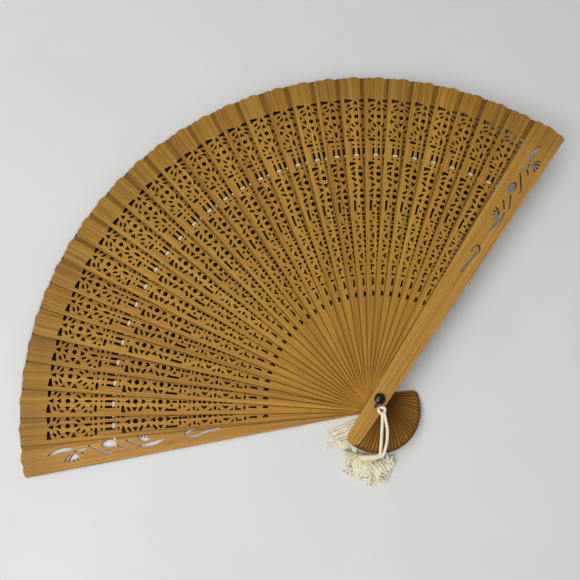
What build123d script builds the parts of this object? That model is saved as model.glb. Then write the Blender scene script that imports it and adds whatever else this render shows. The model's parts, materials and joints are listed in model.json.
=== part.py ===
from build123d import *
import math
import os

# Sandalwood brise fan: thirty loose wooden sticks stacked on one rivet and strung on a ribbon.
# Millimetres. +Z runs along the rivet, away from the face the fan lies on (z = 0).
# The origin is on the rivet's axis, and +Y runs up the middle of the open fan.
# Each stick is drawn with its tip along +Y. "Along" is the distance from the rivet's axis.
# "Across" is the distance from the stick's centre line.

# ---------------------------------------------------------------- driving dimensions
TIP_RADIUS = 174.0          # rivet axis to the tip of a stick
TAIL_RADIUS = 25.5          # rivet axis to the rounded handle end
INNER_STICKS = 28
OPENING = 133.3             # degrees between the two guards when the fan is fully open
SPREAD_WAVE = 0.3           # degrees: hand-opened sticks bunch and part in a slow wave
WAVE_STICKS = 18            # sticks in one length of that wave
WAVE_START = 25             # the stick where the wave crosses zero

STICK_THICK = 0.70
STICK_GAP = 0.11            # running gap between neighbours
GUARD_THICK = 1.6
PIVOT_WIDTH = 8.2           # width of every stick at the rivet
STICK_TIP_WIDTH = 16.6
GUARD_TIP_WIDTH = 18.3

PIN_RADIUS = 1.25
PIN_CLEARANCE = 0.05
HEAD_RADIUS = 2.65
HEAD_HEIGHT = 1.7
REAR_WASHER_RADIUS = 2.5
REAR_WASHER_THICK = 0.8
REAR_RECESS = 1.0           # depth of the counterbore in the rear guard

EYELET_THICK = 0.5
EYELET_RADIUS = 2.3
RING_RADIUS = 1.2           # centre of the wire
RING_WIRE = 0.3
RING_REACH = 3.7            # rivet axis to the centre of the ring
RING_ANGLE = -135.0         # degrees from +X

RIBBON_ALONG = 128.65
RIBBON_WIDTH = 1.3
RIBBON_THICK = 0.05
SLOT_ACROSS = 2.74          # centre of the outer ribbon slots
SLOT_WIDTH = 1.25

# ---------------------------------------------------------------- the stack, from the bottom up
PITCH = STICK_THICK + STICK_GAP
REAR_TOP = GUARD_THICK
FRONT_BOTTOM = REAR_TOP + STICK_GAP + INNER_STICKS * PITCH
FRONT_TOP = FRONT_BOTTOM + GUARD_THICK
EYELET_BOTTOM = FRONT_TOP + 0.1
HEAD_BOTTOM = EYELET_BOTTOM + EYELET_THICK + 0.1
REAR_ANGLE = 90 + OPENING / 2   # direction of the rear guard, degrees from +X


def stick_bottom(i):
    """Height of the underside of inner stick i, counted from 1 at the rear guard."""
    return REAR_TOP + STICK_GAP + (i - 1) * PITCH


def stick_swing(i):
    """Angle from the rear guard to stick i when the fan is open; the front guard is the last stick."""
    step = OPENING / (INNER_STICKS + 1)
    if i > INNER_STICKS:
        return OPENING
    wave = math.sin(2 * math.pi * (WAVE_START - i) / WAVE_STICKS)
    return i * step + SPREAD_WAVE * wave


def place(shape, i, bottom):
    """Turn a piece drawn along +Y to the direction of stick i and lift it to its height."""
    return Pos(0, 0, bottom) * Rot(0, 0, REAR_ANGLE - stick_swing(i) - 90) * shape


# ---------------------------------------------------------------- hole shapes
def dot(across, along, radius):
    return Pos(across, along) * Circle(radius)


def oval(across, along, half_across, half_along):
    return Pos(across, along) * Ellipse(half_across, half_along)


def slot(across, along, length, width, slant=0):
    """Round-ended slot; slant is measured from the across direction."""
    return Pos(across, along) * Rot(0, 0, slant) * SlotOverall(length, width)


def block(across, along, width, length):
    return Pos(across, along) * Rectangle(width, length)


def cut_shape(*points):
    return Polygon(*points, align=None)


def arrow_up(along, half_width, height):
    """Triangle on the centre line with its point towards the tip."""
    base = along - height / 2
    return cut_shape((0, along + height / 2), (-half_width, base), (half_width, base))


def tulip(along, half_width, height):
    """Heart-like cut on the centre line with its point towards the rivet."""
    top = along + height / 2
    shoulder = along - height * 0.2
    return cut_shape(
        (-half_width, top), (0, top - height * 0.2), (half_width, top),
        (half_width * 0.6, shoulder), (0, along - height / 2), (-half_width * 0.6, shoulder),
    )


def lens(start, end, bulge_left, bulge_right):
    """Leaf between two points; each bulge is how far that side stands off the straight line."""
    dx = end[0] - start[0]
    dy = end[1] - start[1]
    span = math.hypot(dx, dy)
    normal = (-dy / span, dx / span)
    middle = ((start[0] + end[0]) / 2, (start[1] + end[1]) / 2)
    left = (middle[0] + normal[0] * bulge_left, middle[1] + normal[1] * bulge_left)
    right = (middle[0] - normal[0] * bulge_right, middle[1] - normal[1] * bulge_right)
    return make_face([ThreePointArc(start, left, end), ThreePointArc(end, right, start)])


def petal(start, end, width):
    return lens(start, end, width / 2, width / 2)


def stroke(width, *points):
    """Slot of constant width along a smooth path, with round ends."""
    path = Spline(*points)
    ends = [Pos(*points[0]) * Circle(width / 2), Pos(*points[-1]) * Circle(width / 2)]
    return trace(path, line_width=width) + ends


# ---------------------------------------------------------------- the fretwork of an inner stick
# Each band returns the cuts on the centre line and the cuts on the left side, which are mirrored.
def rim_band():
    middle = [
        arrow_up(159.1, 1.2, 2.7),
        arrow_up(155.3, 1.2, 2.4),
        Pos(0, 150.8) * RegularPolygon(1.25, 6),
        tulip(146.8, 1.15, 2.4),
        oval(0, 141.0, 0.65, 1.9),
        dot(0, 137.2, 0.6),
    ]
    side = [
        cut_shape((-5.9, 161.0), (-1.9, 160.6), (-1.9, 159.5), (-4.4, 159.1), (-5.9, 158.4)),
        petal((-5.0, 156.3), (-2.6, 157.8), 1.25),
        lens((-4.3, 154.5), (-1.5, 156.2), 0.3, 0.8),
        cut_shape((-5.6, 154.7), (-4.2, 153.4), (-5.6, 152.2)),
        cut_shape((-5.0, 150.8), (-2.7, 152.2), (-2.7, 149.5)),
        cut_shape((-5.6, 149.5), (-3.3, 148.0), (-5.6, 146.5)),
        slot(-2.2, 145.7, 2.5, 1.05, -58),
        slot(-3.1, 143.2, 2.3, 1.1, -45),
        cut_shape((-5.6, 143.3), (-3.8, 141.4), (-5.6, 141.1)),
        dot(-5.4, 139.5, 0.62),
        dot(-2.4, 139.4, 0.58),
        slot(-3.6, 137.3, 3.5, 1.4),
    ]
    return middle, side


def ribbon_band():
    """Three slots that the ribbon is threaded through, between two rows of dots."""
    length = 5.0
    centre = 130.3
    middle = [dot(0, 134.5, 0.6), block(0, centre, SLOT_WIDTH, length), dot(0, 126.3, 0.6)]
    side = [
        dot(-SLOT_ACROSS, 134.5, 0.62),
        block(-SLOT_ACROSS, centre, SLOT_WIDTH, length),
        dot(-SLOT_ACROSS, 126.3, 0.6),
    ]
    return middle, side


def tulip_band():
    """Two rosettes, each a triangle, a disc and a tulip, with slanted slots beside them."""
    middle = [
        arrow_up(122.0, 1.2, 2.6),
        dot(0, 118.0, 1.2),
        tulip(114.0, 1.2, 2.5),
        arrow_up(109.5, 1.2, 2.4),
        dot(0, 105.8, 1.15),
        tulip(102.0, 1.25, 2.3),
        block(0, 98.7, 1.05, 2.3),
    ]
    side = [
        cut_shape((-5.4, 124.8), (-2.1, 124.6), (-2.1, 123.4), (-4.2, 123.1), (-5.4, 122.2)),
        slot(-3.8, 121.1, 2.9, 1.25, 36),
        cut_shape((-5.1, 118.2), (-2.7, 119.7), (-2.7, 116.9)),
        slot(-3.5, 115.3, 2.9, 1.3, -33),
        cut_shape((-3.6, 113.3), (-1.4, 111.8), (-3.6, 110.5)),
        slot(-3.5, 108.6, 2.9, 1.25, 41),
        cut_shape((-4.8, 105.8), (-2.7, 107.1), (-2.7, 104.5)),
        cut_shape((-4.5, 103.7), (-2.8, 102.8), (-3.4, 102.0), (-3.4, 97.5), (-4.5, 97.5)),
        dot(-1.8, 100.2, 0.65),
    ]
    return middle, side


def lattice_cell(centre, reach):
    """Chevron beside a diamond, closed by triangles above and below."""
    middle = [
        arrow_up(centre + 2.55, 1.1, 2.0),
        cut_shape((0, centre + 1.2), (-0.95, centre), (0, centre - 1.2), (0.95, centre)),
        tulip(centre - 2.8, 1.1, 2.0),
    ]
    side = [
        cut_shape((-reach, centre + 3.7), (1.55 - reach, centre + 3.7), (-reach, centre + 1.9)),
        cut_shape(
            (0.5 - reach, centre), (1.9 - reach, centre + 1.6), (2.55 - reach, centre + 0.9),
            (1.9 - reach, centre), (2.55 - reach, centre - 0.9), (1.9 - reach, centre - 1.6),
        ),
        cut_shape((-reach, centre - 1.9), (1.55 - reach, centre - 3.7), (-reach, centre - 3.7)),
    ]
    return middle, side


def lattice_band():
    upper_middle, upper_side = lattice_cell(84.1, 4.15)
    lower_middle, lower_side = lattice_cell(73.5, 3.95)
    middle = upper_middle + lower_middle + [
        dot(0, 96.0, 0.78),
        block(0, 93.7, 1.0, 2.3),
        lens((-1.1, 92.0), (1.1, 92.0), -0.5, 1.2),
        dot(0, 89.1, 0.8),
        dot(0, 78.7, 0.85),
        slot(0, 63.9, 2.0, 1.0),
    ]
    side = upper_side + lower_side + [
        slot(-2.45, 96.2, 2.1, 1.05),
        dot(-2.2, 93.9, 0.55),
        cut_shape((-4.4, 92.9), (-2.8, 91.0), (-4.3, 91.0)),
        slot(-3.1, 89.2, 2.0, 1.1),
        slot(-2.9, 78.7, 1.9, 1.35),
        cut_shape((-3.7, 68.7), (-1.7, 68.7), (-1.7, 67.9), (-2.9, 67.7), (-2.9, 65.7), (-3.7, 65.7)),
        petal((-3.8, 64.0), (-1.5, 64.0), 1.15),
    ]
    return middle, side


def root_band():
    """Long tapered cut and the last drop-shaped cut before the plain wood."""
    side = [
        cut_shape((-2.75, 61.9), (-1.95, 61.9), (-1.75, 58.5), (-2.95, 57.6)),
        lens((-2.7, 55.3), (-2.7, 52.0), 1.2, 0.1),
    ]
    return [], side


def fretwork():
    cuts = []
    for band in (rim_band, ribbon_band, tulip_band, lattice_band, root_band):
        middle, side = band()
        cuts += middle + side
        cuts += [mirror(cut, about=Plane.YZ) for cut in side]
    return cuts


# ---------------------------------------------------------------- the pierced spray of a guard
def guard_piercing():
    """Flower spray and hook, drawn for the front guard, whose outer edge is on the +X side."""
    upper_flower = (1.2, 148.3)
    lower_flower = (0.9, 115.4)
    return [
        lens((0.7, 161.6), (-0.3, 147.6), -0.3, 2.3),
        petal((1.3, 150.1), (4.8, 153.8), 1.1),
        petal(upper_flower, (5.4, 151.7), 1.7),
        petal(upper_flower, (5.5, 149.1), 1.6),
        petal(upper_flower, (5.1, 146.5), 1.5),
        lens((0.3, 149.2), (-1.0, 141.7), 1.2, 0.1),
        petal((0.7, 145.6), (3.0, 142.4), 1.0),
        stroke(0.95, (-1.3, 141.2), (0.45, 138.6), (2.4, 135.7), (3.5, 133.4), (3.7, 131.0)),
        lens((-0.5, 135.6), (-0.7, 128.0), 1.7, 2.1),
        stroke(0.85, (0.9, 127.4), (2.3, 124.2), (3.6, 120.6)),
        stroke(0.85, (-1.0, 123.2), (0.2, 121.2), (1.6, 119.3)),
        petal(lower_flower, (-2.8, 117.8), 1.3),
        petal(lower_flower, (-2.9, 115.1), 1.3),
        petal(lower_flower, (-2.4, 112.4), 1.3),
        petal(lower_flower, (-0.6, 111.0), 1.2),
        lens((2.6, 118.6), (0.8, 103.8), 1.8, 0.2),
        stroke(
            1.0,
            (-0.9, 89.6), (-0.7, 92.4), (0.6, 94.3), (2.1, 93.0),
            (2.2, 90.3), (1.4, 86.8), (0.6, 82.5), (0.4, 77.5),
        ),
    ]


# ---------------------------------------------------------------- sticks
def stick_outline(tip_width, lobe_half):
    """Tapered blade with a three-lobed tip and a rounded handle end."""
    slope = (tip_width - PIVOT_WIDTH) / 2 / TIP_RADIUS
    corner_along = TIP_RADIUS - 1.9
    corner = PIVOT_WIDTH / 2 + slope * corner_along
    tail_along = 3.0 - TAIL_RADIUS
    tail = PIVOT_WIDTH / 2 + slope * tail_along
    notch = TIP_RADIUS - 1.0
    shoulder = (lobe_half + (corner - lobe_half) * 0.4, TIP_RADIUS - 0.65)
    return make_face([
        Line((-tail, tail_along), (-corner, corner_along)),
        ThreePointArc((-corner, corner_along), (-shoulder[0], shoulder[1]), (-lobe_half, notch)),
        ThreePointArc((-lobe_half, notch), (0, TIP_RADIUS), (lobe_half, notch)),
        ThreePointArc((lobe_half, notch), shoulder, (corner, corner_along)),
        Line((corner, corner_along), (tail, tail_along)),
        ThreePointArc((tail, tail_along), (0, -TAIL_RADIUS), (-tail, tail_along)),
    ])


def rivet_hole():
    return Circle(PIN_RADIUS + PIN_CLEARANCE)


def inner_stick():
    face = stick_outline(STICK_TIP_WIDTH, 3.3) - ([rivet_hole()] + fretwork())
    return extrude(face, STICK_THICK)


def guard(mirrored):
    face = stick_outline(GUARD_TIP_WIDTH, 3.9) - ([rivet_hole()] + guard_piercing())
    if mirrored:
        face = mirror(face, about=Plane.YZ)
    return extrude(face, GUARD_THICK)


def rear_guard():
    recess = Cylinder(REAR_WASHER_RADIUS + 0.2, REAR_RECESS, align=(Align.CENTER, Align.CENTER, Align.MIN))
    return guard(mirrored=True) - recess


# ---------------------------------------------------------------- rivet and eyelet
def rivet():
    """Dome head and shank in one piece, set through every stick."""
    rear_end = 0.1
    rim = HEAD_BOTTOM + 0.35
    crown = HEAD_BOTTOM + HEAD_HEIGHT
    dome_radius = (HEAD_RADIUS ** 2 + (crown - rim) ** 2) / (2 * (crown - rim))
    half_angle = math.asin(HEAD_RADIUS / dome_radius) / 2
    on_dome = (
        dome_radius * math.sin(half_angle),
        crown - dome_radius + dome_radius * math.cos(half_angle),
    )
    profile = make_face([
        Polyline(
            (0, crown), (0, rear_end), (PIN_RADIUS, rear_end), (PIN_RADIUS, HEAD_BOTTOM),
            (HEAD_RADIUS, HEAD_BOTTOM), (HEAD_RADIUS, rim),
        ),
        ThreePointArc((HEAD_RADIUS, rim), on_dome, (0, crown)),
    ])
    return revolve(Plane.XZ * profile, Axis.Z)


def rear_washer():
    ring = Circle(REAR_WASHER_RADIUS) - Circle(PIN_RADIUS)
    return Pos(0, 0, 0.1) * extrude(ring, REAR_WASHER_THICK)


def tassel_eyelet():
    """Flat washer under the dome head with the small ring that carries the tassel."""
    plate = Circle(EYELET_RADIUS) - Circle(PIN_RADIUS + 0.08)
    washer = Pos(0, 0, EYELET_BOTTOM) * extrude(plate, EYELET_THICK)
    ring = Pos(RING_REACH, 0, EYELET_BOTTOM + RING_WIRE) * Torus(RING_RADIUS, RING_WIRE)
    return washer + Rot(0, 0, RING_ANGLE) * ring


# ---------------------------------------------------------------- ribbon
def ribbon_step(start, end):
    """One stick's share of the weave: up the left slot, over, down the middle one, up the right one."""
    under = -STICK_GAP / 2
    over = STICK_THICK + STICK_GAP / 2
    ramp = 0.2
    path = Polyline(
        (start, under), (-SLOT_ACROSS - ramp, under), (-SLOT_ACROSS + ramp, over),
        (-ramp, over), (ramp, under),
        (SLOT_ACROSS - ramp, under), (SLOT_ACROSS + ramp, over), (end, over),
    )
    band = Plane.XZ * trace(path, line_width=RIBBON_THICK)
    return Pos(0, RIBBON_ALONG + RIBBON_WIDTH / 2, 0) * extrude(band, RIBBON_WIDTH)


def ribbon():
    """The ribbon at rest, joined to itself in the gap above each stick and glued to the guards."""
    lap = 5.2
    reach = 12.0
    steps = []
    for i in range(1, INNER_STICKS + 1):
        start = -reach if i == 1 else -lap
        end = reach if i == INNER_STICKS else lap + 0.4
        steps.append(place(ribbon_step(start, end), i, stick_bottom(i)))
    return steps[0] + steps[1:]


# ---------------------------------------------------------------- tassel
CORD_RADIUS = 0.62
CORD_HEIGHT = FRONT_TOP + 1.3


def jointed_rod(radius, points):
    """Straight round rods between the points, with a slightly larger ball at every bend."""
    pieces = [Pos(*point) * Sphere(radius * 1.05) for point in points]
    for start, end in zip(points, points[1:]):
        length = math.dist(start, end)
        rod = Cylinder(radius, length, align=(Align.CENTER, Align.CENTER, Align.MIN))
        heading = tuple(b - a for a, b in zip(start, end))
        pieces.append(Plane(origin=start, z_dir=heading) * rod)
    return pieces[0] + pieces[1:]


def tassel_cord():
    """Two strands from the ring to the end of the handle, and one drop from there to the knot."""
    top = CORD_HEIGHT
    meet = (-13.6, -20.6, top)
    left = jointed_rod(CORD_RADIUS, [meet, (-8.0, -12.9, top), (-3.6, -6.2, top), (-2.6, -5.0, top)])
    right = jointed_rod(CORD_RADIUS, [
        meet, (-7.9, -18.6, top), (-4.6, -14.6, top), (-2.6, -10.2, top), (-1.9, -7.3, top),
    ])
    drop = jointed_rod(CORD_RADIUS, [
        meet, (-14.9, -22.4, top - 0.3), (-15.5, -22.1, 22.0), (-17.4, -21.1, 15.0),
        (-19.4, -19.9, 8.5), (-21.1, -19.1, 4.9),
    ])
    return left + right + drop


def tassel_knot():
    return Pos(-21.6, -16.6, 2.5) * Sphere(2.2)


def tassel_fringe():
    """Two flattened tufts of fringe that lie on the table on either side of the knot."""
    left = cut_shape((-11.0, -3.4), (-26.0, 0.5), (-27.5, -9.0), (-22.0, -13.0), (-14.0, -9.0))
    right = cut_shape(
        (-25.5, -19.5), (-27.5, -25.5), (-21.0, -37.5), (-13.0, -38.5),
        (-7.0, -34.0), (-5.5, -30.2), (-12.0, -28.5), (-19.5, -24.0),
    )
    floor_gap = 0.3
    return Compound([
        Pos(0, 0, floor_gap) * extrude(left, 3.0),
        Pos(0, 0, floor_gap) * extrude(right, 4.5),
    ])


# ---------------------------------------------------------------- write every piece
def main():
    os.makedirs("parts", exist_ok=True)
    blade = inner_stick()
    pieces = {
        "rear_guard": place(rear_guard(), 0, 0),
        "front_guard": place(guard(mirrored=False), INNER_STICKS + 1, FRONT_BOTTOM),
        "rivet": rivet(),
        "rear_washer": rear_washer(),
        "ribbon": ribbon(),
        "tassel_eyelet": tassel_eyelet(),
        "tassel_cord": tassel_cord(),
        "tassel_knot": tassel_knot(),
        "tassel_fringe": tassel_fringe(),
    }
    for i in range(1, INNER_STICKS + 1):
        pieces[f"stick_{i:02d}"] = place(blade, i, stick_bottom(i))
    for name, shape in pieces.items():
        export_step(shape, f"parts/{name}.step")


main()
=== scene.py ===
"""Looks of the pierced wooden folding fan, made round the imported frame."""

import json
import math
import random

import bpy
import numpy as np
from mathutils import Matrix, Vector


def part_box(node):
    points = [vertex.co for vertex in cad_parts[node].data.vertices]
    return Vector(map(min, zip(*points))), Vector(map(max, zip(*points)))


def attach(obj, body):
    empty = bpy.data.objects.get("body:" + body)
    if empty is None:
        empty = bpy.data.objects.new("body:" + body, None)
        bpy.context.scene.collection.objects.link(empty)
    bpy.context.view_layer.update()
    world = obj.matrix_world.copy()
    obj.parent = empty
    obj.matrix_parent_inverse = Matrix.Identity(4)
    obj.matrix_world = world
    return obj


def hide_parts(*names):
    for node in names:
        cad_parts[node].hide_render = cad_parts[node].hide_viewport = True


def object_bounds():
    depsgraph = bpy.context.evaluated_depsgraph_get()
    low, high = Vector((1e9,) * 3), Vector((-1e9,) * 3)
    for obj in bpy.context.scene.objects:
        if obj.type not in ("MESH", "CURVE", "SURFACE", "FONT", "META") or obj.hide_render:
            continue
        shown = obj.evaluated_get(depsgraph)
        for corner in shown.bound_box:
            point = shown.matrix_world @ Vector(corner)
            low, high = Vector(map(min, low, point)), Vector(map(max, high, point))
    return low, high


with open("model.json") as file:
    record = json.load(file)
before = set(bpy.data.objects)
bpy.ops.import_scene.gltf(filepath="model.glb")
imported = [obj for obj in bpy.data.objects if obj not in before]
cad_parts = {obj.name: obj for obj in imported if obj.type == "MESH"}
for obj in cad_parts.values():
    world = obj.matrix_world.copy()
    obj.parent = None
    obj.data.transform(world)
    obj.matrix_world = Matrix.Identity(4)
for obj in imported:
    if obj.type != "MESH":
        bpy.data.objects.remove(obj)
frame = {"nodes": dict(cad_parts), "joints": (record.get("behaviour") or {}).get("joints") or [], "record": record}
cad_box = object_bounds()

MM = 0.001
NODES = frame["nodes"]
RANDOM = random.Random(30)

# ---------------------------------------------------------------- driving sizes, in millimetres
TIP_REACH = 174.0                # from the rivet's axis to a stick's tip
PIVOT_HALF_WIDTH = 4.1
STICK_TIP_HALF_WIDTH = 8.3
GUARD_TIP_HALF_WIDTH = 9.15

# ---------------------------------------------------------------- what the frame says
OPENING = next(j for j in frame["joints"] if j["name"] == "fan_fold")["range_deg"][1]
SHARES = {c["joint"]: c["ratio"] for c in frame["record"]["behaviour"]["couplings"]}
STICKS = sorted(name for name in NODES if name.startswith("stick_"))
LEAVES = ["rear_guard"] + STICKS + ["front_guard"]


def direction(leaf):
    """Degrees from +X to the tip of a stick or guard when the fan is open."""
    if leaf == "rear_guard":
        share = 0.0
    elif leaf == "front_guard":
        share = 1.0
    else:
        share = SHARES[f"{leaf}_swing"]
    return 90 + OPENING / 2 - OPENING * share


def half_width(leaf, along):
    """Half the width of a stick or guard at a distance from the rivet's axis."""
    at_tip = GUARD_TIP_HALF_WIDTH if leaf.endswith("guard") else STICK_TIP_HALF_WIDTH
    return PIVOT_HALF_WIDTH + (at_tip - PIVOT_HALF_WIDTH) * along / TIP_REACH


def bottom_of(node):
    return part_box(node)[0].z / MM


def top_of(node):
    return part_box(node)[1].z / MM


# ---------------------------------------------------------------- shader building
class Shader:
    """A node material: add() makes a node, sets its properties and links or fills its inputs."""

    def __init__(self, name):
        self.material = bpy.data.materials.new(name)
        self.material.use_nodes = True
        self.tree = self.material.node_tree
        self.tree.nodes.clear()
        self.output = self.tree.nodes.new("ShaderNodeOutputMaterial")

    def add(self, kind, inputs=None, **settings):
        node = self.tree.nodes.new("ShaderNode" + kind)
        for key, value in settings.items():
            setattr(node, key, value)
        for key, value in (inputs or {}).items():
            if isinstance(value, bpy.types.NodeSocket):
                self.tree.links.new(value, node.inputs[key])
            else:
                node.inputs[key].default_value = value
        return node

    def attribute(self, name):
        return self.add("Attribute", attribute_name=name)

    def math(self, operation, first, second=0.0):
        return self.add("Math", {0: first, 1: second}, operation=operation).outputs[0]

    def stretched(self, vector, across, along, height):
        """Scale a place, so that one unit is one feature of the pattern."""
        return self.add("Mapping", {"Vector": vector, "Scale": (across, along, height)}).outputs[0]

    def noise(self, vector, detail=2.0, roughness=0.5, distortion=0.0):
        inputs = {
            "Vector": vector,
            "Scale": 1.0,
            "Detail": detail,
            "Roughness": roughness,
            "Distortion": distortion,
        }
        return self.add("TexNoise", inputs).outputs["Fac"]

    def ramp(self, factor, *stops):
        node = self.add("ValToRGB", {"Fac": factor})
        elements = node.color_ramp.elements
        while len(elements) < len(stops):
            elements.new(0.5)
        for element, (place, colour) in zip(elements, stops):
            element.position = place
            element.color = (*colour, 1.0)
        return node.outputs["Color"]

    def level(self, factor, low, high, low_value=0.0, high_value=1.0):
        """Carry the range low...high over to low_value...high_value, held at both ends."""
        inputs = {
            "Value": factor,
            "From Min": low,
            "From Max": high,
            "To Min": low_value,
            "To Max": high_value,
        }
        return self.add("MapRange", inputs).outputs[0]

    def mix(self, factor, first, second):
        node = self.add("Mix", data_type="RGBA", blend_type="MIX")
        sockets = (node.inputs[0], node.inputs[6], node.inputs[7])
        for socket, value in zip(sockets, (factor, first, second)):
            if isinstance(value, bpy.types.NodeSocket):
                self.tree.links.new(value, socket)
            else:
                socket.default_value = (*value, 1.0)
        return node.outputs[2]

    def bump(self, height, strength, depth_mm):
        inputs = {"Height": height, "Strength": strength, "Distance": depth_mm * MM}
        return self.add("Bump", inputs).outputs["Normal"]

    def finish(self, **inputs):
        named = {key.replace("_", " "): value for key, value in inputs.items()}
        surface = self.add("BsdfPrincipled", named)
        self.tree.links.new(surface.outputs[0], self.output.inputs["Surface"])
        return self.material


# ---------------------------------------------------------------- wood
HOLE_WALL_SHADE = (0.020, 0.007, 0.003)          # walls of the piercings, painted near-black as shade
TAIL_SHADE = (0.088, 0.031, 0.004)          # handle ends, painted shade from the sticks above
NEXT_PLANK = (37.3, 411.7, 5.1)          # step through the grain from one stick to the next


def darkened(colour, share):
    return tuple(part * share for part in colour)


def wood_figure(s, grain, streaks, fibres, pale, middle, deep):
    """Colour of straight-grained wood, from broad bands down to fine specks."""
    bands = s.noise(s.stretched(grain, 0.30, 0.006, 0.3), detail=3.0, distortion=0.4)
    lines = s.noise(s.stretched(grain, 2.3, 0.010, 1.5), detail=1.0, roughness=0.4)
    specks = s.noise(s.stretched(grain, 2.2, 1.1, 2.0), detail=3.0, roughness=0.6)
    pore_noise = s.noise(s.stretched(grain, 5.0, 0.30, 4.0), detail=1.0, roughness=0.4)
    pores = s.level(pore_noise, 0.64, 0.74)

    mottle = s.math("ADD", s.math("MULTIPLY", bands, 0.45), s.math("MULTIPLY", fibres, 0.55))
    colour = s.ramp(mottle, (0.32, deep), (0.50, middle), (0.68, pale))
    stains = (
        # pattern, where it starts, where it is full, strength, tint
        (streaks, 0.50, 0.66, 0.60, deep),
        (streaks, 0.46, 0.32, 0.45, pale),
        (lines, 0.52, 0.66, 0.55, deep),
        (lines, 0.46, 0.34, 0.40, pale),
        (specks, 0.48, 0.75, 0.22, pale),
    )
    for pattern, start, full, strength, tint in stains:
        colour = s.mix(s.level(pattern, start, full, 0.0, strength), colour, tint)
    return s.mix(s.math("MULTIPLY", pores, 0.45), colour, darkened(deep, 0.5)), pores


def own_tone(s, colour, number, along):
    """Shift hue and brightness from stick to stick, and darken the solid tips."""
    tone = s.add("TexWhiteNoise", {"W": number}, noise_dimensions="1D").outputs["Value"]
    hue_draw = s.math("FRACT", s.math("MULTIPLY", tone, 7.0))
    brightness = s.level(tone, 0, 1, 0.93, 1.07)
    toward_tip = s.level(along, 150, 167, 1.07, 0.86)
    return s.add("HueSaturation", {
        "Hue": s.level(hue_draw, 0, 1, 0.494, 0.504),
        "Saturation": 1.0,
        "Value": s.math("MULTIPLY", brightness, toward_tip),
        "Color": colour,
    }).outputs["Color"]


def painted_stick_shadows(s, along, upward, number):
    """Two amounts of painted shade: the shadow band beside and under the next stick, and the handle ends shaded by
    the sticks above.
    """
    # painted shadow: a dark band on each stick beside the raised edge of the next stick, a darker contact line at
    # that edge, and painted shade where the stick lies under the next one
    lap = s.attribute("lap").outputs["Fac"]
    band_width = s.level(along, 70, TIP_REACH, 0.5, 2.5)
    band_strength = s.level(number, 5, 10, 0.20, 0.44)
    band = s.level(s.math("ADD", lap, band_width), -0.15, 0.25)
    band = s.math("MULTIPLY", band, band_strength)
    corner = s.level(lap, -0.85, 0.0, 0.0, 0.70)
    hidden = s.level(lap, 0.0, 0.2)
    past_rivet = s.level(along, 8, 16)
    on_blade = s.math("MAXIMUM", band, s.math("MAXIMUM", corner, hidden))
    on_blade = s.math("MULTIPLY", on_blade, past_rivet)

    # painted shade on the handle ends: a shadow strip beside the next stick's edge, and darker towards the rivet
    # where the sticks above shade them
    tail_lap = s.attribute("tail_lap").outputs["Fac"]
    strip = s.level(tail_lap, -1.5, -0.5, 0.0, 0.85)
    shade_near_rivet = s.level(along, -24, -10, 0.36, 0.78)
    behind_rivet = s.level(along, -2, -4)
    below_front_guard = s.math("LESS_THAN", number, len(LEAVES) - 1.5)
    on_tail = s.math("MULTIPLY", s.math("MAXIMUM", strip, shade_near_rivet), behind_rivet)
    on_tail = s.math("MULTIPLY", on_tail, below_front_guard)

    face = s.level(upward, 0.4, 0.6)
    return s.math("MULTIPLY", on_blade, face), s.math("MULTIPLY", on_tail, face)


def cut_walls(s, across, along, upward, tip_half_width):
    """1 on the walls of the piercings, which get painted shade, and 0 on the faces and on the outer edge."""
    rim_margin = 0.12
    solid_tip_from = 168.0
    solid_pivot_to = 2.0
    edge = s.level(along, 0, TIP_REACH, PIVOT_HALF_WIDTH, tip_half_width)
    inside = s.math("LESS_THAN", across, s.math("SUBTRACT", edge, rim_margin))
    short_of_tip = s.math("LESS_THAN", along, solid_tip_from)
    past_rivet = s.math("GREATER_THAN", along, solid_pivot_to)
    upright = s.math("LESS_THAN", s.math("ABSOLUTE", upward), 0.5)
    within = s.math("MULTIPLY", inside, s.math("MULTIPLY", short_of_tip, past_rivet))
    return s.math("MULTIPLY", within, upright)


def sandalwood(name, pale, middle, deep, tip_half_width):
    """Oiled wood whose grain runs along each stick, with each stick cut from another place."""
    s = Shader(name)
    blade = s.attribute("blade").outputs["Vector"]
    number = s.attribute("leaf_number").outputs["Fac"]
    parts = s.add("SeparateXYZ", {0: blade})
    across = s.math("ABSOLUTE", parts.outputs["X"])
    along = parts.outputs["Y"]
    normal = s.add("NewGeometry").outputs["True Normal"]
    upward = s.add("SeparateXYZ", {0: normal}).outputs["Z"]

    apart = s.add("VectorMath", {0: NEXT_PLANK, 3: number}, operation="SCALE").outputs[0]
    grain = s.add("VectorMath", {0: blade, 1: apart}, operation="ADD").outputs[0]
    streaks = s.noise(s.stretched(grain, 1.25, 0.012, 1.0), detail=2.0, roughness=0.45)
    fibres = s.noise(s.stretched(grain, 3.2, 0.045, 2.0), detail=5.0, roughness=0.65)
    colour, pores = wood_figure(s, grain, streaks, fibres, pale, middle, deep)
    colour = own_tone(s, colour, number, along)

    margin, handle = painted_stick_shadows(s, along, upward, number)
    walls = cut_walls(s, across, along, upward, tip_half_width)
    # paint the shadow band beside the next stick and the shade under it
    colour = s.mix(margin, colour, darkened(deep, 0.07))
    # paint shade on the handle ends
    colour = s.mix(handle, colour, TAIL_SHADE)
    # painted shade: the walls of the piercings go near-black
    colour = s.mix(walls, colour, HOLE_WALL_SHADE)
    # less specular where shade is painted and on the darkened hole walls
    painted_shade_mask = s.math("MAXIMUM", margin, s.math("MAXIMUM", walls, handle))
    ridges = s.math("ADD", fibres, s.math("MULTIPLY", streaks, 0.8))
    return s.finish(
        Base_Color=colour,
        Roughness=s.level(fibres, 0.3, 0.7, 0.52, 0.66),
        Specular_IOR_Level=s.level(painted_shade_mask, 0, 1, 0.28, 0.04),
        Normal=s.bump(s.math("SUBTRACT", ridges, pores), strength=0.35, depth_mm=0.06),
    )


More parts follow.
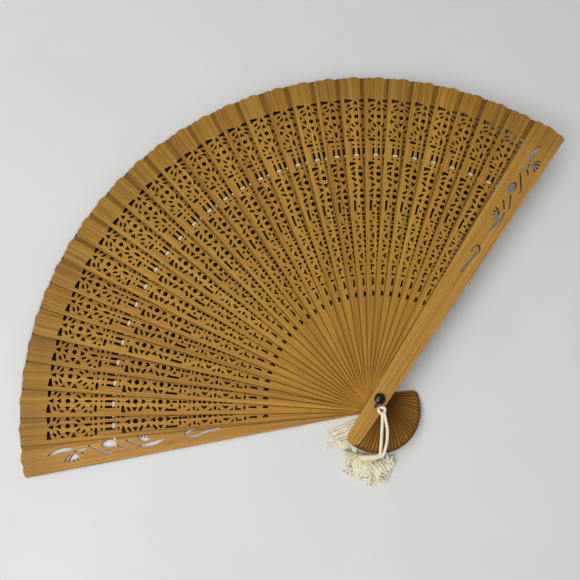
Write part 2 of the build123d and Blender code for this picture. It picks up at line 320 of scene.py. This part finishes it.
# ---------------------------------------------------------------- metal, ribbon and yarn
def blackened_metal():
    """Glossy black finish, rubbed to grey in fine scratches."""
    s = Shader("blackened_metal")
    place = s.add("TexCoord").outputs["Object"]
    scratch_place = s.stretched(place, 3500, 500, 900)
    scratches = s.noise(scratch_place, detail=3.0, roughness=0.6, distortion=0.6)
    blotches = s.noise(s.stretched(place, 700, 700, 700))
    worn = s.level(scratches, 0.62, 0.80)
    return s.finish(
        Base_Color=s.mix(worn, (0.004, 0.004, 0.005), (0.10, 0.10, 0.10)),
        Metallic=s.level(worn, 0, 1, 0.2, 1.0),
        Roughness=s.level(blotches, 0.3, 0.7, 0.05, 0.14),
        Normal=s.bump(scratches, strength=0.15, depth_mm=0.02),
    )


def bright_metal():
    """Plated wire with a little tarnish."""
    s = Shader("bright_metal")
    place = s.add("TexCoord").outputs["Object"]
    tarnish = s.noise(s.stretched(place, 900, 900, 900), detail=3.0, roughness=0.6)
    dark = (0.035, 0.033, 0.030)
    clean = (0.50, 0.48, 0.45)
    return s.finish(
        Base_Color=s.ramp(tarnish, (0.40, dark), (0.70, clean)),
        Metallic=1.0,
        Roughness=s.level(tarnish, 0.3, 0.7, 0.30, 0.12),
        Normal=s.bump(tarnish, strength=0.1, depth_mm=0.02),
    )


def satin_ribbon():
    """Narrow woven ribbon: fine warp threads along it, a weft across it, and painted shade where it dips under the
    sticks.
    """
    s = Shader("satin_ribbon")
    weave = s.attribute("thread").outputs["Vector"]
    warp = s.noise(s.stretched(weave, 9.0, 0.25, 1.0))
    weft = s.noise(s.stretched(weave, 0.3, 7.0, 1.0))
    cloth = s.math("ADD", s.math("MULTIPLY", warp, 0.6), s.math("MULTIPLY", weft, 0.4))
    colour = s.ramp(cloth, (0.35, (0.46, 0.39, 0.25)), (0.6, (0.70, 0.63, 0.46)))
    # painted shade: the ribbon goes near-black where it runs low under the sticks
    dip_shade = s.level(s.attribute("raised").outputs["Fac"], 0.25, 0.85, 0.94, 0.0)
    return s.finish(
        Base_Color=s.mix(dip_shade, colour, (0.030, 0.018, 0.008)),
        Roughness=s.level(warp, 0.3, 0.7, 0.38, 0.55),
        Sheen_Weight=0.25,
        Normal=s.bump(cloth, strength=0.5, depth_mm=0.03),
    )


def rayon(name, pale, deep):
    """Soft cream yarn: filaments that follow each strand's lay, with painted shade between the plies."""
    s = Shader(name)
    thread = s.attribute("thread").outputs["Vector"]
    ridge = s.attribute("groove").outputs["Fac"]
    filaments = s.noise(s.stretched(thread, 7.0, 0.5, 3.0), detail=3.0, roughness=0.6)
    patches = s.noise(s.stretched(thread, 0.2, 0.12, 1.7))
    # painted shade in the grooves between the plies
    ply_shade = s.level(ridge, 0.0, 1.0, 0.50, 0.0)
    depth = s.math("MULTIPLY", ply_shade, s.level(filaments, 0.3, 0.7, 1.0, 0.7))
    colour = s.mix(depth, pale, deep)
    colour = s.mix(s.level(patches, 0.42, 0.70, 0.0, 0.28), colour, deep)
    return s.finish(
        Base_Color=colour,
        Roughness=s.level(filaments, 0.3, 0.7, 0.5, 0.75),
        Sheen_Weight=0.35,
        Subsurface_Weight=0.12,
        Subsurface_Scale=0.4 * MM,
        Normal=s.bump(filaments, strength=0.35, depth_mm=0.04),
    )


STICK_WOOD = sandalwood(
    "stick_wood",
    pale=(0.51, 0.274, 0.038),
    middle=(0.390, 0.195, 0.018),
    deep=(0.225, 0.092, 0.007),
    tip_half_width=STICK_TIP_HALF_WIDTH,
)
GUARD_WOOD = sandalwood(
    "guard_wood",
    pale=(0.51, 0.279, 0.055),
    middle=(0.425, 0.217, 0.030),
    deep=(0.28, 0.125, 0.012),
    tip_half_width=GUARD_TIP_HALF_WIDTH,
)
BLACK_METAL = blackened_metal()
WIRE_METAL = bright_metal()
RIBBON_CLOTH = satin_ribbon()
CORD_YARN = rayon("cord_yarn", (0.92, 0.87, 0.68), (0.62, 0.51, 0.31))
FRINGE_YARN = rayon("fringe_yarn", (0.89, 0.85, 0.66), (0.62, 0.54, 0.34))
# the same cream yarn made darker: painted shade on the wound skein
SHADED_SKEIN_YARN = rayon("shaded_skein_yarn", (0.76, 0.69, 0.45), (0.46, 0.39, 0.21))


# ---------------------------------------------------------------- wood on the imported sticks
def store(mesh, name, kind, values):
    """Keep one value per vertex for the materials."""
    layer = mesh.attributes.new(name, kind, "POINT")
    key = "vector" if kind == "FLOAT_VECTOR" else "value"
    layer.data.foreach_set(key, np.asarray(values, np.float32).ravel())


def lap_under(leaf, number, places):
    """How far each point of a leaf lies inside the left and the right edge of the next leaf."""
    if number + 1 == len(LEAVES):
        far_outside = np.full(len(places), -50.0)
        return far_outside, far_outside
    above = LEAVES[number + 1]
    turn = math.radians(direction(leaf) - direction(above))
    across = places[:, 0] * math.cos(turn) - places[:, 1] * math.sin(turn)
    along = places[:, 0] * math.sin(turn) + places[:, 1] * math.cos(turn)
    reach = half_width(above, along)
    return reach + across, reach - across


def finish_leaf(leaf, number):
    """Give a stick or guard its wood, and lay the grain along it."""
    thing = NODES[leaf]
    mesh = thing.data
    places = np.zeros(len(mesh.vertices) * 3, np.float32)
    mesh.vertices.foreach_get("co", places)
    turn = Matrix.Rotation(math.radians(90 - direction(leaf)), 3, "Z")
    along_blade = places.reshape(-1, 3) @ np.array(turn).T / MM
    lap, tail_lap = lap_under(leaf, number, along_blade)
    store(mesh, "blade", "FLOAT_VECTOR", along_blade)
    store(mesh, "leaf_number", "FLOAT", np.full(len(mesh.vertices), number))
    store(mesh, "lap", "FLOAT", lap)
    store(mesh, "tail_lap", "FLOAT", tail_lap)
    for socket in thing.material_slots:
        socket.material = GUARD_WOOD if leaf.endswith("guard") else STICK_WOOD
    for face in mesh.polygons:
        face.use_smooth = False


for leaf_number, leaf_name in enumerate(LEAVES):
    finish_leaf(leaf_name, leaf_number)


# ---------------------------------------------------------------- making pieces
def add_object(name, data):
    thing = bpy.data.objects.new(name, data)
    bpy.context.scene.collection.objects.link(thing)
    return thing


def make_piece(name, points, faces, material, body):
    """Smooth mesh from points in millimetres, riding on a body of the frame."""
    mesh = bpy.data.meshes.new(name)
    mesh.from_pydata([Vector(p) * MM for p in points], [], faces)
    mesh.validate()
    mesh.materials.append(material)
    for face in mesh.polygons:
        face.use_smooth = True
    piece = add_object(name, mesh)
    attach(piece, body)
    return piece


def stand_in(piece, node):
    """Hide a CAD node, so that a piece shows in its place."""
    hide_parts(node)


def lathe(profile, segments, bored=False):
    """Points and faces of a (radius, height) profile turned about the Z axis.

    Flat ends close the solid, or the wall of a bore if it is bored.
    """
    points = []
    for k in range(segments):
        a = 2 * math.pi * k / segments
        points += [(r * math.cos(a), r * math.sin(a), z) for r, z in profile]
    rows = len(profile)
    starts = [k * rows for k in range(segments)]
    pairs = list(zip(starts, starts[1:] + starts[:1]))
    faces = []
    for this, after in pairs:
        faces += [(this + j, after + j, after + j + 1, this + j + 1) for j in range(rows - 1)]
    last = rows - 1
    if bored:
        faces += [(this + last, after + last, after, this) for this, after in pairs]
    else:
        faces.append(starts[::-1])
        faces.append([start + last for start in starts])
    return points, faces


def torus(centre, ring, wire, tilt, turn, segments=64, sides=20):
    """Ring of round wire, tipped about the Y axis and then turned about Z."""
    tipped = Matrix.Rotation(math.radians(tilt), 3, "Y")
    stand = Matrix.Rotation(math.radians(turn), 3, "Z") @ tipped
    points = []
    for k in range(segments):
        a = 2 * math.pi * k / segments
        for j in range(sides):
            b = 2 * math.pi * j / sides
            out = ring + wire * math.cos(b)
            spot = Vector((out * math.cos(a), out * math.sin(a), wire * math.sin(b)))
            points.append(Vector(centre) + stand @ spot)
    faces = []
    for k in range(segments):
        this, after = k * sides, (k + 1) % segments * sides
        for j in range(sides):
            up = (j + 1) % sides
            faces.append((this + j, after + j, after + up, this + up))
    return points, faces


def smooth_path(points, step):
    """Smooth curve through the points, cut into pieces about one step long."""
    knots = np.array([points[0], *points, points[-1]], float)
    out = []
    for k in range(1, len(knots) - 2):
        p0, p1, p2, p3 = knots[k - 1:k + 3]
        slope = p2 - p0
        bend = 2 * p0 - 5 * p1 + 4 * p2 - p3
        twist = 3 * p1 - p0 - 3 * p2 + p3
        count = max(2, int(np.linalg.norm(p2 - p1) / step))
        for t in np.arange(count) / count:
            out.append(0.5 * (2 * p1 + slope * t + bend * t ** 2 + twist * t ** 3))
    out.append(knots[-2])
    return np.array(out)


def distance_along(path):
    """Distance walked from the start to each point of a path."""
    steps = np.linalg.norm(np.diff(path, axis=0), axis=1)
    return np.concatenate([[0], np.cumsum(steps)])


def untwisted_frames(path):
    """Two side directions at each point of a path, carried along without twist."""
    tangents = np.gradient(path, axis=0)
    tangents /= np.linalg.norm(tangents, axis=1)[:, None]
    side = np.cross(tangents[0], (0.0, 0.0, 1.0))
    if np.linalg.norm(side) < 0.1:
        side = np.cross(tangents[0], (1.0, 0.0, 0.0))
    sides = []
    for tangent in tangents:
        side = side - tangent * (side @ tangent)
        side = side / np.linalg.norm(side)
        sides.append(side)
    sides = np.array(sides)
    return sides, np.cross(tangents, sides)


class Yarn:
    """Collects twisted strands into one mesh."""

    def __init__(self, sides, plies):
        self.sides = sides
        self.plies = plies
        self.points, self.faces, self.thread, self.groove = [], [], [], []
        self.count = 0

    def strand(self, path, radius, lay, depth=0.22, taper=(1.0, 0.55)):
        """Sweep a plied cross-section along a path. lay is the length of one full twist."""
        left, up = untwisted_frames(path)
        walked = distance_along(path)
        base = sum(len(block) for block in self.points)
        around = 2 * math.pi * np.arange(self.sides) / self.sides
        share = walked / walked[-1]
        from_end = np.clip(np.minimum(walked, walked[-1] - walked) / radius, 0, 1)
        rounded = np.sqrt(0.08 + 0.92 * from_end)
        size = radius * (taper[0] + (taper[1] - taper[0]) * share ** 3) * rounded
        turned = around[None, :] + 2 * math.pi * walked[:, None] / lay
        ridge = np.abs(np.cos(turned * self.plies / 2))
        reach = size[:, None] * (1 - depth + depth * ridge)
        leftward = np.cos(around)[None, :, None] * left[:, None, :]
        upward = np.sin(around)[None, :, None] * up[:, None, :]
        ring = path[:, None, :] + reach[..., None] * (leftward + upward)
        self.points.append(ring.reshape(-1, 3))
        self.groove.append(ridge.ravel())

        lengthwise = np.broadcast_to(walked[:, None], turned.shape)
        own_place = np.full(turned.shape, 3.0 * self.count)
        thread = np.stack([turned * radius, lengthwise, own_place], axis=-1)
        self.thread.append(thread.reshape(-1, 3))
        self.close(base, len(path))
        self.count += 1

    def close(self, base, rings):
        """Skin the last strand, whose points start at base, and cap its ends."""
        n = self.sides
        for k in range(rings - 1):
            row = base + k * n
            for j in range(n):
                after = (j + 1) % n
                self.faces.append((row + j, row + after, row + n + after, row + n + j))
        last = base + (rings - 1) * n
        self.faces.append([base + j for j in reversed(range(n))])
        self.faces.append([last + j for j in range(n)])

    def piece(self, name, material, node):
        """The collected strands as one piece of the tassel, in place of a CAD node."""
        piece = make_piece(name, np.concatenate(self.points), self.faces, material, "tassel")
        store(piece.data, "thread", "FLOAT_VECTOR", np.concatenate(self.thread))
        store(piece.data, "groove", "FLOAT", np.concatenate(self.groove))
        stand_in(piece, node)


# ---------------------------------------------------------------- ribbon
RIBBON_ALONG = 128.65            # from the rivet's axis to the ribbon's centre line
RIBBON_WIDTH = 1.15
RIBBON_THICK = 0.05
SLOT_ACROSS = 2.74               # from the middle slot to the slot on either side
STICK_THICK = top_of("stick_01") - bottom_of("stick_01")
GAP = bottom_of("stick_02") - top_of("stick_01")
UNDER = -GAP / 2
OVER = STICK_THICK + GAP / 2
MARGIN = 5.15                    # how far a length runs under the next stick to meet the next


def weave_profile():
    """(across, height) of one stick's length of ribbon, above the stick's underside."""
    ramp = 0.30
    return [
        (-MARGIN, UNDER), (-SLOT_ACROSS - ramp, UNDER),
        (-SLOT_ACROSS + ramp, OVER), (-SLOT_ACROSS / 2, OVER), (-ramp, OVER),
        (ramp, UNDER), (SLOT_ACROSS / 2, UNDER), (SLOT_ACROSS - ramp, UNDER),
        (SLOT_ACROSS + ramp, OVER), (MARGIN, OVER),
    ]


def strip_faces(rows, columns):
    """Faces of a flat strip: an upper and a lower skin, two long edges and two ends."""
    half = rows * columns
    last = columns - 1
    faces = []
    for k in range(rows - 1):
        row, after = k * columns, (k + 1) * columns
        for c in range(last):
            a, b = row + c, after + c
            faces.append((a, b, b + 1, a + 1))
            faces.append((half + a, half + a + 1, half + b + 1, half + b))
        faces.append((row, half + row, half + after, after))
        faces.append((row + last, after + last, half + after + last, half + row + last))
    for a in range(last):
        faces.append((a, a + 1, half + a + 1, half + a))
    for a in range(half - columns, half - 1):
        faces.append((a, half + a, half + a + 1, a + 1))
    return faces


def ribbon_strip(name, profile, leaf, base):
    """Flat woven strip that follows a profile across one stick or guard."""
    path = smooth_path([(across, height, 0) for across, height in profile], step=0.22)
    walked = distance_along(path)
    turn = Matrix.Rotation(math.radians(direction(leaf) - 90), 3, "Z")
    columns = 7
    points, thread, raised = [], [], []
    for side in (1, -1):
        skin = side * RIBBON_THICK / 2
        for (across, height, _), run in zip(path, walked):
            # how far the ribbon rises out from under the stick; the ribbon's material paints shade where this is
            # low
            lift = 1.0 if leaf.endswith("guard") else (height - UNDER) / (OVER - UNDER)
            for c in range(columns):
                outward = (c / (columns - 1) * 2 - 1) * RIBBON_WIDTH / 2
                spot = Vector((across, RIBBON_ALONG + outward, base + height + skin))
                points.append(turn @ spot)
                thread.append((outward, run, side))
                raised.append(lift)
    faces = strip_faces(len(path), columns)
    strip = make_piece(name, points, faces, RIBBON_CLOTH, leaf)
    store(strip.data, "thread", "FLOAT_VECTOR", thread)
    store(strip.data, "raised", "FLOAT", raised)
    return strip


def make_ribbon():
    """One length per stick, and a glued end on each guard that shows in its carved opening."""
    for stick in STICKS:
        ribbon_strip(f"ribbon_{stick}", weave_profile(), stick, bottom_of(stick))
    glued = 0.8
    flat = OVER - STICK_THICK
    rear_end = [(-1.3, -glued), (-0.9, -0.3), (-0.2, flat), (2.0, flat), (MARGIN, flat)]
    front_end = [(-MARGIN, UNDER), (-2.0, UNDER), (0.2, UNDER), (0.9, 0.35), (1.3, glued)]
    first = ribbon_strip("ribbon_rear_end", rear_end, "rear_guard", top_of("rear_guard"))
    ribbon_strip("ribbon_front_end", front_end, "front_guard", bottom_of("front_guard"))
    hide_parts("ribbon")


make_ribbon()


# ---------------------------------------------------------------- rivet and eyelet
WIRE_HEIGHT = top_of("front_guard") + 0.95           # centre of the ring and its neck
RING_CENTRE = (-3.05, -2.65, WIRE_HEIGHT)
NECK_CENTRE = (-1.55, -2.35, WIRE_HEIGHT)


def make_rivet():
    """Shank with a domed head, whose rim has a small rounded edge."""
    low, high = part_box("rivet")
    head = (high.x - low.x) / 2 / MM
    foot = low.z / MM
    crown = high.z / MM
    head_gap = 0.1
    rim = top_of("tassel_eyelet") + head_gap
    shank = 1.25
    foot_centre = 0.4
    edge = 0.3
    bevel = 0.15
    bevel_height = 0.12
    rise = crown - rim - edge
    near_crown = 0.03
    angles = np.linspace(math.pi / 2, near_crown, 22)
    dome = [(head * math.sin(t), rim + edge + rise * math.cos(t)) for t in angles]
    below = [
        (foot_centre, foot), (shank, foot), (shank, rim),
        (head - bevel, rim), (head, rim + bevel_height),
    ]
    points, faces = lathe(below + dome, 72)
    stand_in(make_piece("rivet_finish", points, faces, BLACK_METAL, "rear_guard"),
             "rivet")


def make_rear_washer():
    """Washer with eased edges that the rivet's rear end is peened over."""
    low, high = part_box("rear_washer")
    outer = (high.x - low.x) / 2 / MM
    z0, z1 = low.z / MM, high.z / MM
    bore, press_fit = 1.3, 0.02
    bevel, edge, burr = 0.15, 0.1, 0.05
    profile = [
        (bore, z0 + burr), (bore + bevel, z0), (outer - bevel, z0), (outer, z0 + bevel),
        (outer, z1 - edge), (outer - edge, z1), (bore + burr, z1), (bore - press_fit, z1 - burr),
    ]
    points, faces = lathe(profile, 64, bored=True)
    stand_in(make_piece("rear_washer_finish", points, faces, BLACK_METAL, "rear_guard"),
             "rear_washer")


def make_eyelet():
    """Washer round the rivet with a standing wire ring that the cord is hitched to."""
    z0 = bottom_of("tassel_eyelet")
    bore, outer, thick, eased = 1.45, 2.3, 0.5, 0.1
    profile = [
        (bore, z0), (outer - eased, z0), (outer, z0 + eased),
        (outer, z0 + thick - eased), (outer - eased, z0 + thick), (bore, z0 + thick),
    ]
    washer = lathe(profile, 64, bored=True)
    ring = torus(RING_CENTRE, ring=1.35, wire=0.45, tilt=-24, turn=-140)
    neck = torus(NECK_CENTRE, ring=0.62, wire=0.27, tilt=74, turn=-40, segments=40)
    points, faces = [], []
    for part_points, part_faces in (washer, ring, neck):
        start = len(points)
        points += list(part_points)
        faces += [[start + v for v in face] for face in part_faces]
    stand_in(make_piece("tassel_eyelet_finish", points, faces, WIRE_METAL, "tassel"),
             "tassel_eyelet")


make_rivet()
make_rear_washer()
make_eyelet()


# ---------------------------------------------------------------- tassel
CORD_RADIUS = 0.74
CORD_CLEARANCE = 0.25
LIE = top_of("front_guard") + CORD_RADIUS + CORD_CLEARANCE    # the cord's centre on the handle
KNOT = Vector((-21.4, -17.4, 2.8))
TABLE_CLEARANCE = 0.45           # lowest centre of a fringe strand


def make_cord():
    """Two strands, hitched to the ring, over the handle ends and down to the knot."""
    left = [
        (-3.1, -2.9, LIE - 0.6), (-3.5, -3.6, LIE + 0.4), (-3.95, -4.4, LIE + 0.8),
        (-3.8, -5.4, LIE + 0.4), (-3.3, -6.4, LIE), (-4.5, -8.6, LIE), (-7.2, -12.2, LIE),
        (-10.3, -16.2, LIE), (-12.7, -19.2, LIE), (-14.4, -21.4, LIE - 0.5),
        (-14.9, -21.9, 22.5), (-15.5, -21.5, 15.0), (-17.4, -20.3, 8.5), (-19.8, -18.7, 4.6),
        KNOT,
    ]
    right = [
        (-2.6, -3.3, LIE - 0.6), (-1.7, -3.9, LIE + 0.4), (-0.85, -4.7, LIE + 0.8),
        (-1.1, -5.7, LIE + 0.4), (-2.0, -6.7, LIE), (-3.3, -9.6, LIE), (-5.4, -14.2, LIE),
        (-8.5, -18.3, LIE), (-11.3, -20.9, LIE), (-13.5, -22.6, LIE - 0.5),
        (-14.3, -22.9, 22.5), (-15.2, -22.7, 15.2), (-17.4, -21.6, 8.7), (-20.0, -20.0, 4.8),
        KNOT + Vector((-0.4, -1.0, 0)),
    ]
    hitch = [
        (-3.8, -5.2, LIE + 0.2), (-3.5, -6.1, LIE + 0.8), (-2.7, -6.7, LIE + 1.1),
        (-1.8, -6.5, LIE + 0.8), (-1.1, -5.7, LIE + 0.2),
    ]
    yarn = Yarn(sides=18, plies=3)
    for points, step, radius in (
        (left, 0.22, CORD_RADIUS),
        (right, 0.22, CORD_RADIUS),
        (hitch, 0.2, CORD_RADIUS * 0.8),
    ):
        yarn.strand(smooth_path(points, step), radius, lay=5.0, depth=0.14, taper=(1.0, 1.0))
    yarn.piece("tassel_cord_yarn", CORD_YARN, "tassel_cord")


def make_knot():
    """Wound skein that gathers the fringe, curled round the handle ends."""
    axis = [
        (-24.9, -12.2, 2.2), (-24.0, -14.6, 2.8), (-21.2, -18.0, 3.2), (-17.6, -21.0, 3.2),
        (-13.2, -23.9, 2.8),
    ]
    spine = smooth_path(axis, step=0.25)
    left, up = untwisted_frames(spine)
    walked = distance_along(spine)
    swell = 0.70 + 0.35 * np.sin(math.pi * walked / walked[-1])
    yarn = Yarn(sides=12, plies=2)
    strands = 14
    full_turn = 40               # millimetres of skein in which its strands go round once
    for k in range(strands):
        reach = 1.15 if k % 2 else 0.6
        turned = 2 * math.pi * (k / strands + walked / full_turn)
        offset = np.cos(turned)[:, None] * left + np.sin(turned)[:, None] * up
        path = spine + (reach * swell)[:, None] * offset
        yarn.strand(path, radius=0.70, lay=5.0, depth=0.07, taper=(0.95, 0.8))
    binding_places = (0.52, 0.56, 0.60)
    binding_radius = 1.85
    angles = np.linspace(0, 2 * math.pi, 22)
    for place in binding_places:
        at = int(place * len(spine))
        loop = [spine[at] + binding_radius * (math.cos(a) * left[at] + math.sin(a) * up[at])
                for a in angles]
        yarn.strand(smooth_path(loop, step=0.3), radius=0.42, lay=3.0, taper=(1.0, 1.0))
    yarn.piece("tassel_knot_yarn", SHADED_SKEIN_YARN, "tassel_knot")


def random_vector(*ranges):
    return Vector([RANDOM.uniform(low, high) for low, high in ranges])


def kinked(points, amplitude, wavelength, step=0.3):
    """Smooth path with the lasting kinks of unravelled yarn, kept above the table."""
    straight_start = 2.0
    slow_share = 0.37
    wander_share = 0.6
    upward_share = 0.6
    path = smooth_path(points, step)
    left, up = untwisted_frames(path)
    walked = distance_along(path)
    start = RANDOM.uniform(0, 2 * math.pi)
    drift = RANDOM.uniform(0.8, 1.25)
    phase = start + 2 * math.pi * walked / (wavelength * drift)
    wander = np.sin(phase * slow_share + start)
    fade = np.clip(walked / straight_start, 0, 1)[:, None]
    sideways = left * (np.sin(phase) + wander_share * wander)[:, None]
    upward = up * upward_share * np.cos(phase)[:, None]
    path = path + fade * amplitude * (sideways + upward)
    path[:, 2] = np.maximum(path[:, 2], TABLE_CLEARANCE)
    return path


def combed_strands(yarn):
    """Two layers that curl under the raised handle and come out side by side on the table."""
    lanes = 8
    for k in range(lanes * 2):
        layer = k // lanes
        lane = (k % lanes + 0.25 * layer) / (lanes - 0.75)
        level = 0.9 + 1.1 * layer
        out = Vector((-10.0 - 10.2 * lane, -3.6 - 6.8 * lane, level + 0.4))
        tip_x = -26.6 + 2.0 * lane + RANDOM.uniform(-1.8, 1.6)
        tip_y = -9.4 * lane + RANDOM.uniform(-0.2, 0.2)
        tip = Vector((tip_x, tip_y, 0.8))
        start = KNOT + Vector((0.3 * lane, 0.2, -0.8))
        under = out * 0.75 + KNOT * 0.25 + Vector((1.6 - 1.2 * lane, -1.2, 0.0))
        halfway = (out + tip) / 2 + Vector((0, 0.3, 0.15))
        path = kinked([start, under, out, halfway, tip], amplitude=0.10, wavelength=4.6)
        yarn.strand(path, radius=0.56, lay=6.0, depth=0.06, taper=(1.0, 0.6))


def curled_ends(yarn):
    """Short ends that curl up on top of the combed strands."""
    for _ in range(14):
        lane = 0.55 + 0.45 * RANDOM.random()
        x = -19.0 - 4.5 * RANDOM.random()
        y = -3.0 - 9.0 * lane + RANDOM.uniform(-0.5, 0.5)
        z = RANDOM.uniform(2.0, 2.7)
        curl = [
            (x, y, z), (x - 1.2, y + 0.5, z + 0.4), (x - 2.2, y - 0.1, z),
            (x - 1.4, y - 0.9, z - 0.2), (x - 2.8, y - 0.8, z - 0.5),
        ]
        path = kinked(curl, amplitude=0.15, wavelength=2.6, step=0.25)
        yarn.strand(path, radius=0.46, lay=4.0, depth=0.08)


def stray_strands(yarn):
    """Long thin strands that lie out on the table."""
    for k in range(3):
        points = [
            (-23.0, -7.5 - 1.0 * k, 1.2),
            (-27.0, -6.0 - 0.8 * k, 0.8),
            (-30.0 - 0.8 * k, -5.0 - 0.7 * k, 0.6),
        ]
        path = kinked(points, amplitude=0.25, wavelength=3.4)
        yarn.strand(path, radius=0.40, lay=4.0, depth=0.08, taper=(1.0, 0.4))


def heaped_strands(yarn):
    """Curly strands heaped beyond the handle ends, longest in the middle of the heap."""
    shares = (0.0, 0.35, 0.55, 0.75, 1.0)
    lengths = (9.0, 9.0, 13.0, 8.5, 2.5)
    for _ in range(88):
        share = RANDOM.random()
        azimuth = math.radians(-142 + 38 * share)
        reach = 27.6 + RANDOM.uniform(0, 2.0)
        height = RANDOM.uniform(0.7, 2.2)
        root = Vector((reach * math.cos(azimuth), reach * math.sin(azimuth), height))
        length = float(np.interp(share, shares, lengths)) * RANDOM.uniform(0.45, 1.0)
        heading = math.radians(-121 + RANDOM.uniform(-26, 26))
        end = root + Vector((math.cos(heading), math.sin(heading), 0)) * length
        end.z = RANDOM.uniform(0.7, 2.6)
        sway = random_vector((-2.6, 2.6), (-2.6, 2.6), (0.4, 2.6))
        back = end + random_vector((-3.0, 3.0), (-0.5, 3.4), (-0.4, 0.8))
        points = [root, (root + end) / 2 + sway, end, back]
        path = kinked(points, amplitude=0.55, wavelength=3.8, step=0.25)
        yarn.strand(path, radius=RANDOM.uniform(0.42, 0.74), lay=5.0, depth=0.08)


def stray_loops(yarn):
    """Loops of uncut yarn at the edge of the heap."""
    for k in range(5):
        x = -14.6 - 1.5 * k
        points = [
            (x - 1.0, -29.5, 1.8), (x - 2.2, -33.6, 0.9), (x - 0.6, -36.6 + 0.5 * k, 0.8),
            (x + 2.0, -34.9, 0.8), (x + 1.5, -30.5, 1.4),
        ]
        path = kinked(points, amplitude=0.25, wavelength=2.6)
        yarn.strand(path, radius=0.46, lay=4.0, depth=0.10)


def make_fringe():
    """The tuft beside the handle and the loose heap beyond it."""
    side = Yarn(sides=12, plies=2)
    combed_strands(side)
    curled_ends(side)
    stray_strands(side)
    side.piece("tassel_fringe_side", FRINGE_YARN, "tassel_fringe")
    loose = Yarn(sides=8, plies=2)
    heaped_strands(loose)
    stray_loops(loose)
    loose.piece("tassel_fringe_loose", FRINGE_YARN, "tassel_fringe")


make_cord()
make_knot()
make_fringe()


# ---------------------------------------------------------------- table, light and camera
def open_side(s, place):
    """1 where no shade is painted on the table: the near side of the open fan and as far under its guards as the
    light reaches.
    """
    slope = math.radians(direction("front_guard"))
    widening = 0.03              # how much deeper the light reaches with distance from the rivet
    parts = s.add("SeparateXYZ", {0: place})
    rise = s.math("MULTIPLY", parts.outputs["Y"], math.cos(slope))
    fall = s.math("MULTIPLY", s.math("ABSOLUTE", parts.outputs["X"]), math.sin(slope))
    reach = s.add("VectorMath", {0: place}, operation="LENGTH").outputs["Value"]
    inward = s.math("SUBTRACT", rise, fall)
    inward = s.math("SUBTRACT", inward, s.math("MULTIPLY", reach, widening))
    return s.level(inward, 1.5 * MM, 3.0 * MM, 1.0, 0.0)


def table_top():
    """Pale matt board, faintly mottled, with painted brown shade under the fan."""
    s = Shader("table_top")
    place = s.add("TexCoord").outputs["Object"]
    mottle = s.noise(s.stretched(place, 14, 14, 14), detail=4.0, roughness=0.6)
    fine = s.noise(s.stretched(place, 900, 900, 900))
    board = s.ramp(mottle, (0.3, (0.70, 0.71, 0.70)), (0.7, (0.74, 0.75, 0.735)))
    # painted shade: where little open sky is seen from the table, under the fan, the board's colour goes to dark
    # brown
    openness = s.add("AmbientOcclusion", {"Distance": 0.2}, samples=24).outputs["AO"]
    lit = s.math("MAXIMUM", s.level(openness, 0.57, 0.69), open_side(s, place))
    darkest = (0.020, 0.010, 0.004)
    half_dark = (0.130, 0.085, 0.043)
    shade_under_fan = s.mix(s.level(openness, 0.38, 0.58), darkest, half_dark)
    return s.finish(
        Base_Color=s.mix(lit, shade_under_fan, board),
        Roughness=s.level(fine, 0.3, 0.7, 0.55, 0.7),
        Specular_IOR_Level=s.math("MULTIPLY", lit, 0.25),
        Normal=s.bump(fine, strength=0.05, depth_mm=0.02),
    )


def make_table():
    half = 1.5
    corners = [(-half, -half, 0), (half, -half, 0), (half, half, 0), (-half, half, 0)]
    mesh = bpy.data.meshes.new("table")
    mesh.from_pydata(corners, [], [(0, 1, 2, 3)])
    mesh.materials.append(table_top())
    add_object("table", mesh)


def area_light(name, azimuth, elevation, distance, size, power, colour):
    """Square soft light aimed at the middle of the fan."""
    a, e = math.radians(azimuth), math.radians(elevation)
    toward = Vector((math.cos(a) * math.cos(e), math.sin(a) * math.cos(e), math.sin(e)))
    aim = (cad_box[0] + cad_box[1]) / 2
    spot = aim + distance * toward
    lamp = bpy.data.lights.new(name, "AREA")
    lamp.size = size
    lamp.energy = power
    lamp.color = colour
    light = add_object(name, lamp)
    light.location = spot
    light.rotation_euler = (spot - aim).to_track_quat("Z", "Y").to_euler()


def make_lights():
    """A window from the left and a broad soft light from above."""
    area_light("window", azimuth=188, elevation=55, distance=1.0, size=0.55, power=5.7,
               colour=(1.0, 0.99, 0.97))
    area_light("ceiling", azimuth=120, elevation=75, distance=1.4, size=1.0, power=5.5,
               colour=(0.98, 0.98, 0.99))


def make_world():
    world = bpy.data.worlds.new("room")
    world.use_nodes = True
    backdrop = world.node_tree.nodes["Background"]
    backdrop.inputs["Color"].default_value = (0.96, 0.98, 1.0, 1.0)
    backdrop.inputs["Strength"].default_value = 0.28
    bpy.context.scene.world = world


def make_camera():
    """Looks down on the open fan from the near side."""
    tilt = (13.64, -4.66, -32.81)
    data = bpy.data.cameras.new("camera")
    data.lens = 48.07
    data.sensor_width = 36.0
    camera = add_object("camera", data)
    camera.location = (-0.0813, 0.0087, 0.3941)
    camera.rotation_euler = tuple(math.radians(a) for a in tilt)
    bpy.context.scene.camera = camera


make_table()
make_lights()
make_world()
make_camera()
bpy.context.scene.view_settings.view_transform = "Standard"
